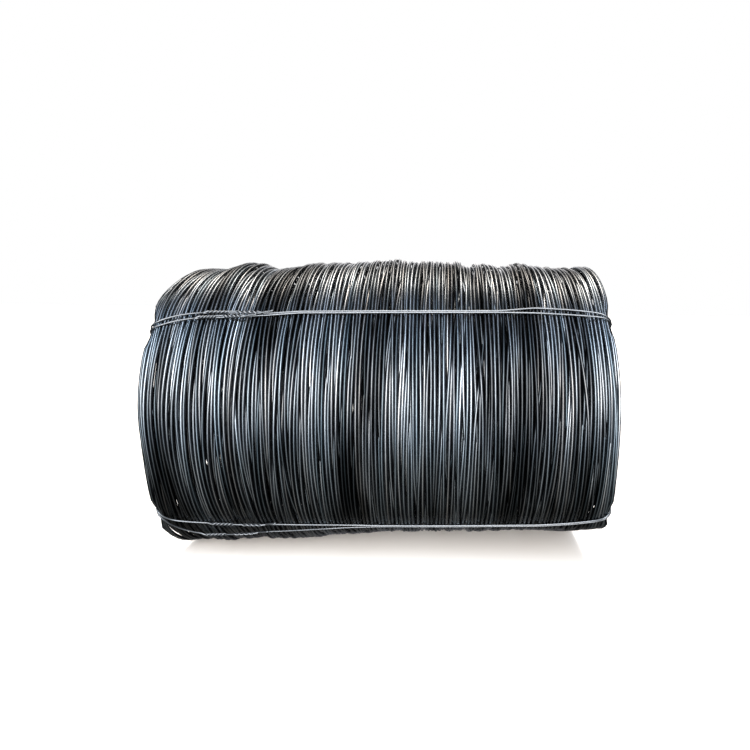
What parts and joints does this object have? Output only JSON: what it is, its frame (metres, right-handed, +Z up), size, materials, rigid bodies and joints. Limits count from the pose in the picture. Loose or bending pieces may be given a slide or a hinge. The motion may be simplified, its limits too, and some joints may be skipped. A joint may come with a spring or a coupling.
{
  "type": "coil of wire rod",
  "caption": "Ring-shaped coil of hot rolled steel wire rod lying on its side, held by pairs of twisted tie wires.",
  "frame": {"origin": "on the floor under the middle of the coil", "axes": "+X along the coil's axis, away from the end with the knots; +Z up; -Y is the front"},
  "size_m": [1.73, 1.2498, 1.2499],
  "materials": {
    "rod": "hot rolled, thin blue grey mill scale",
    "tie": "drawn wire, bright"
  },
  "bodies": {
    "root": {"rod_coil": "rod", "tie_wire_front_upper_a": "tie", "tie_wire_front_upper_b": "tie", "tie_wire_front_lower_a": "tie", "tie_wire_front_lower_b": "tie", "tie_wire_rear_upper_a": "tie", "tie_wire_rear_upper_b": "tie", "tie_wire_rear_lower_a": "tie", "tie_wire_rear_lower_b": "tie"}
  },
  "joints": []
}
